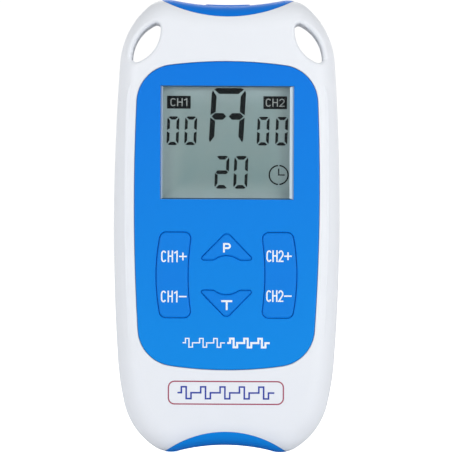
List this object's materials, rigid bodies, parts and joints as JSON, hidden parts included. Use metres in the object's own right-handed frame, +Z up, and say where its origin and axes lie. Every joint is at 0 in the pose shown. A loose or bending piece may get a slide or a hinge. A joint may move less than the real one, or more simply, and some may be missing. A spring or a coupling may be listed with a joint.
{
  "type": "tens unit",
  "caption": "Hand-held nerve stimulator: waisted casing with lanyard eyes, display, rocker and arrow keys, lead sockets, battery bay with cover, and belt clip.",
  "frame": {"origin": "centre of the object's box, at its lowest level: the lower end of the upright unit", "axes": "+Z up along the unit's length, +Y to its back, +X to the right of the display"},
  "size_m": [0.06, 0.0316, 0.12],
  "materials": {
    "white_plastic": "satin moulded ABS, white",
    "blue_plastic": "blue moulded ABS, soft gloss",
    "blue_keys": "blue keycaps, soft gloss, printed legends",
    "white_cover": "satin moulded ABS, white",
    "clip_plastic": "white acetal",
    "clear_window": "clear polycarbonate with bevelled edges",
    "display_glass": "grey-green liquid crystal glass",
    "reflector": "satin reflective film",
    "frame_plastic": "white moulded frame",
    "foam": "black foam",
    "elastomer": "striped conductive rubber",
    "keypad_rubber": "translucent grey silicone",
    "carbon": "black carbon contact",
    "circuit_board": "green solder mask",
    "gold_pads": "gold-plated copper",
    "black_plastic": "black moulded parts",
    "switch_plunger": "black plunger",
    "ferrite": "dark ferrite",
    "can_metal": "bare cans",
    "chip_body": "small chip parts",
    "contact_metal": "nickel-plated steel",
    "battery_sleeve": null,
    "screw_steel": "zinc-plated steel",
    "spring_steel": "bright spring steel",
    "label_film": "blank satin silver film"
  },
  "bodies": {
    "casing": {"battery_cell_left": "battery_sleeve", "battery_cell_right": "battery_sleeve", "battery_plus_contact_left": "contact_metal", "battery_plus_contact_right": "contact_metal", "battery_spring_left": "contact_metal", "battery_spring_right": "contact_metal", "belt_clip_bracket": "clip_plastic", "belt_clip_pin": "spring_steel", "belt_clip_spring": "spring_steel", "board_components": "chip_body", "board_screws": "screw_steel", "bottom_cap": "blue_plastic", "capacitors": "can_metal", "case_screws": "screw_steel", "clip_screws": "screw_steel", "crystal": "can_metal", "display_frame": "frame_plastic", "display_gasket": "foam", "display_window": "clear_window", "elastomer_strips": "elastomer", "fascia": "blue_plastic", "front_shell": "white_plastic", "key_contact_pads": "gold_pads", "keypad_mat": "keypad_rubber", "lcd_front_glass": "display_glass", "lcd_rear_glass": "display_glass", "lcd_reflector": "reflector", "lead_socket_left": "black_plastic", "lead_socket_right": "black_plastic", "main_board": "circuit_board", "microcontroller": "black_plastic", "piezo_buzzer": "black_plastic", "power_switch": "black_plastic", "pulse_transformers": "ferrite", "rear_shell": "white_plastic", "socket_pin_left": "contact_metal", "socket_pin_right": "contact_metal", "top_cap": "blue_plastic"},
    "program_key": {"key_program": "blue_keys", "pill_program": "carbon"},
    "timer_key": {"key_timer": "blue_keys", "pill_timer": "carbon"},
    "channel_1_rocker": {"key_channel_1": "blue_keys", "pills_channel_1": "carbon"},
    "channel_2_rocker": {"key_channel_2": "blue_keys", "pills_channel_2": "carbon"},
    "power_key": {"power_button": "blue_plastic", "power_switch_plunger": "switch_plunger"},
    "cover": {"battery_cover": "white_cover", "cover_foam_pad": "foam", "rating_label": "label_film"},
    "clip": {"belt_clip_lever": "clip_plastic"}
  },
  "joints": [
    {"name": "program_key_press", "type": "slide", "parent": "casing", "child": "program_key", "axis": [0, 1, 0], "range_m": [0, 0.0005], "stiffness_N_per_m": 2500},
    {"name": "timer_key_press", "type": "slide", "parent": "casing", "child": "timer_key", "axis": [0, 1, 0], "range_m": [0, 0.0005], "stiffness_N_per_m": 2500},
    {"name": "channel_1_rock", "type": "hinge", "parent": "casing", "child": "channel_1_rocker", "pos_m": [-0.014, -0.01431, 0.047], "axis": [1, 0, 0], "range_deg": [-3.2, 3.2], "stiffness_Nm_per_rad": 0.16},
    {"name": "channel_2_rock", "type": "hinge", "parent": "casing", "child": "channel_2_rocker", "pos_m": [0.014, -0.01431, 0.047], "axis": [1, 0, 0], "range_deg": [-3.2, 3.2], "stiffness_Nm_per_rad": 0.16},
    {"name": "power_key_press", "type": "slide", "parent": "casing", "child": "power_key", "axis": [0, 0, -1], "range_m": [0, 0.0005], "stiffness_N_per_m": 4000},
    {"name": "cover_hinge", "type": "hinge", "parent": "casing", "child": "cover", "pos_m": [0, 0.00879, 0.0135], "axis": [-1, 0, 0], "range_deg": [0, 75]},
    {"name": "clip_pivot", "type": "hinge", "parent": "casing", "child": "clip", "pos_m": [0, 0.01189, 0.105], "axis": [1, 0, 0], "range_deg": [0, 14], "stiffness_Nm_per_rad": 0.4, "springref_deg": -5.73}
  ]
}
